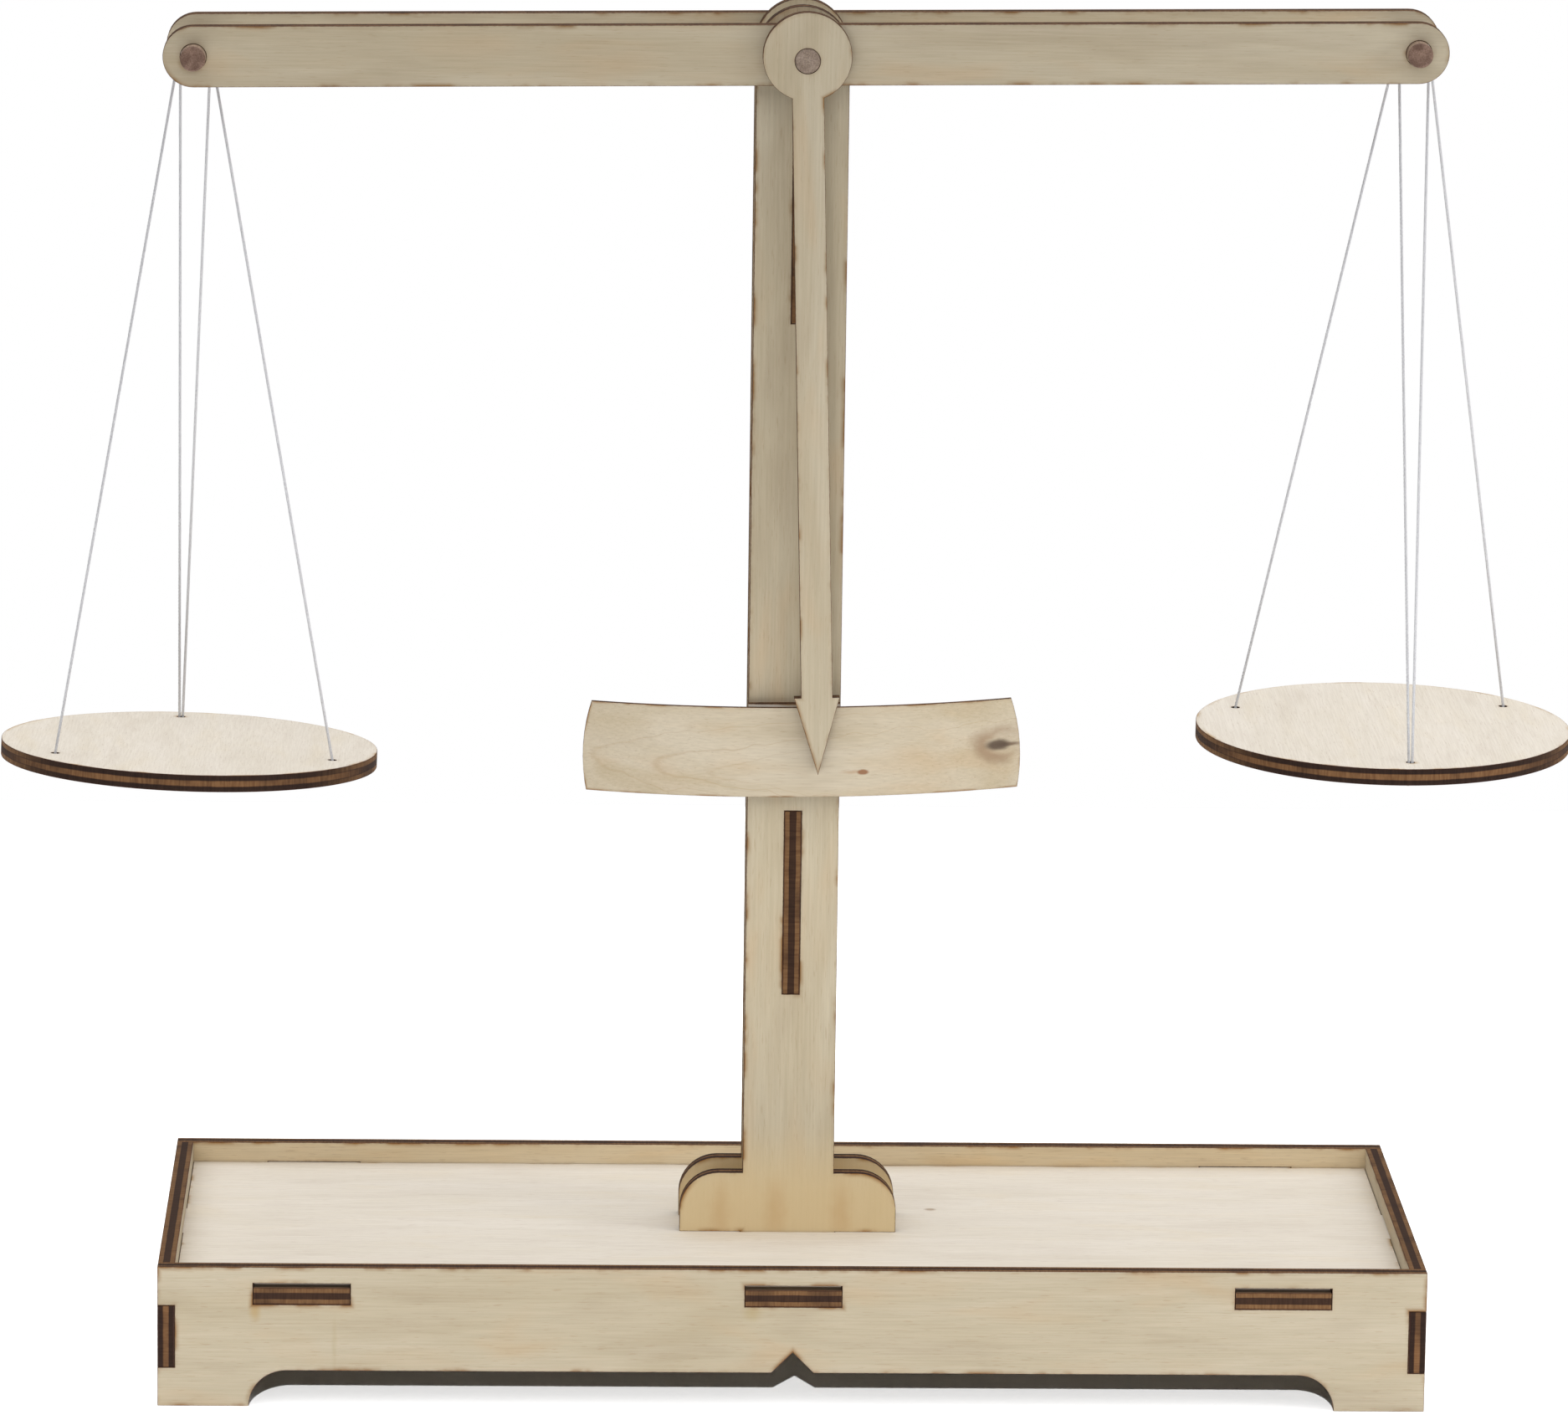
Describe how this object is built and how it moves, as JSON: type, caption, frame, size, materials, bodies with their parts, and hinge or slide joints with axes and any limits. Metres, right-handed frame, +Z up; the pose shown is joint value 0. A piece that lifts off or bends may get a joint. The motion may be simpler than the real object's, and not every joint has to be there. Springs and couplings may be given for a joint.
{
  "type": "equal arm balance scale",
  "caption": "Plywood equal arm balance: a tray base carries a column, a pivoting beam with a pointer and dial, and round pans hung on threads.",
  "frame": {"origin": "on the ground under the middle of the base, which is the middle of the whole object's box", "axes": "+X along the base and the beam to the right, +Y to the back, +Z up; the pointer and the dial face -Y"},
  "size_m": [0.3768, 0.12, 0.327],
  "materials": {
    "birch_plywood": "bare, sanded, laser-cut edges",
    "pale_plywood": "bare, sanded, laser-cut edges",
    "birch_veneer": "bare, sanded, laser-cut edges",
    "dowel": "bare, turned",
    "thread": "twisted thread"
  },
  "bodies": {
    "stand": {"front_panel": "birch_plywood", "back_panel": "birch_plywood", "left_end_panel": "birch_plywood", "right_end_panel": "birch_plywood", "tray_floor": "pale_plywood", "column_front_plate": "birch_plywood", "column_back_plate": "birch_plywood", "column_rib": "birch_plywood", "dial_spacer": "pale_plywood", "dial_plate": "birch_veneer"},
    "beam": {"front_beam_bar": "birch_plywood", "back_beam_bar": "birch_plywood", "beam_axle": "dowel", "pointer": "birch_plywood"},
    "left_hanger": {"left_hanger_dowel": "dowel"},
    "right_hanger": {"right_hanger_dowel": "dowel"},
    "left_pan_set": {"left_pan": "pale_plywood", "left_bridle_string": "thread", "left_loop_string": "thread", "left_knots": "thread"},
    "right_pan_set": {"right_pan": "pale_plywood", "right_bridle_string": "thread", "right_loop_string": "thread", "right_knots": "thread"}
  },
  "joints": [
    {"name": "beam_tilt", "type": "hinge", "parent": "stand", "child": "beam", "pos_m": [0.0008, 0.002, 0.315], "axis": [0, 1, 0], "range_deg": [-30, 30]},
    {"name": "left_hanger_turn", "type": "hinge", "parent": "beam", "child": "left_hanger", "pos_m": [-0.1432, 0.002, 0.31424], "axis": [0, 1, 0], "range_deg": [-30, 30]},
    {"name": "right_hanger_turn", "type": "hinge", "parent": "beam", "child": "right_hanger", "pos_m": [0.14478, 0.002, 0.31776], "axis": [0, 1, 0], "range_deg": [-30, 30]},
    {"name": "left_pan_swing", "type": "hinge", "parent": "left_hanger", "child": "left_pan_set", "pos_m": [-0.1432, 0.002, 0.31424], "axis": [1, 0, 0], "range_deg": [-6, 6]},
    {"name": "right_pan_swing", "type": "hinge", "parent": "right_hanger", "child": "right_pan_set", "pos_m": [0.14478, 0.002, 0.31776], "axis": [1, 0, 0], "range_deg": [-6, 6]}
  ],
  "couplings": [
    {"joint": "left_hanger_turn", "follows": "beam_tilt", "ratio": -1},
    {"joint": "right_hanger_turn", "follows": "beam_tilt", "ratio": -1}
  ]
}
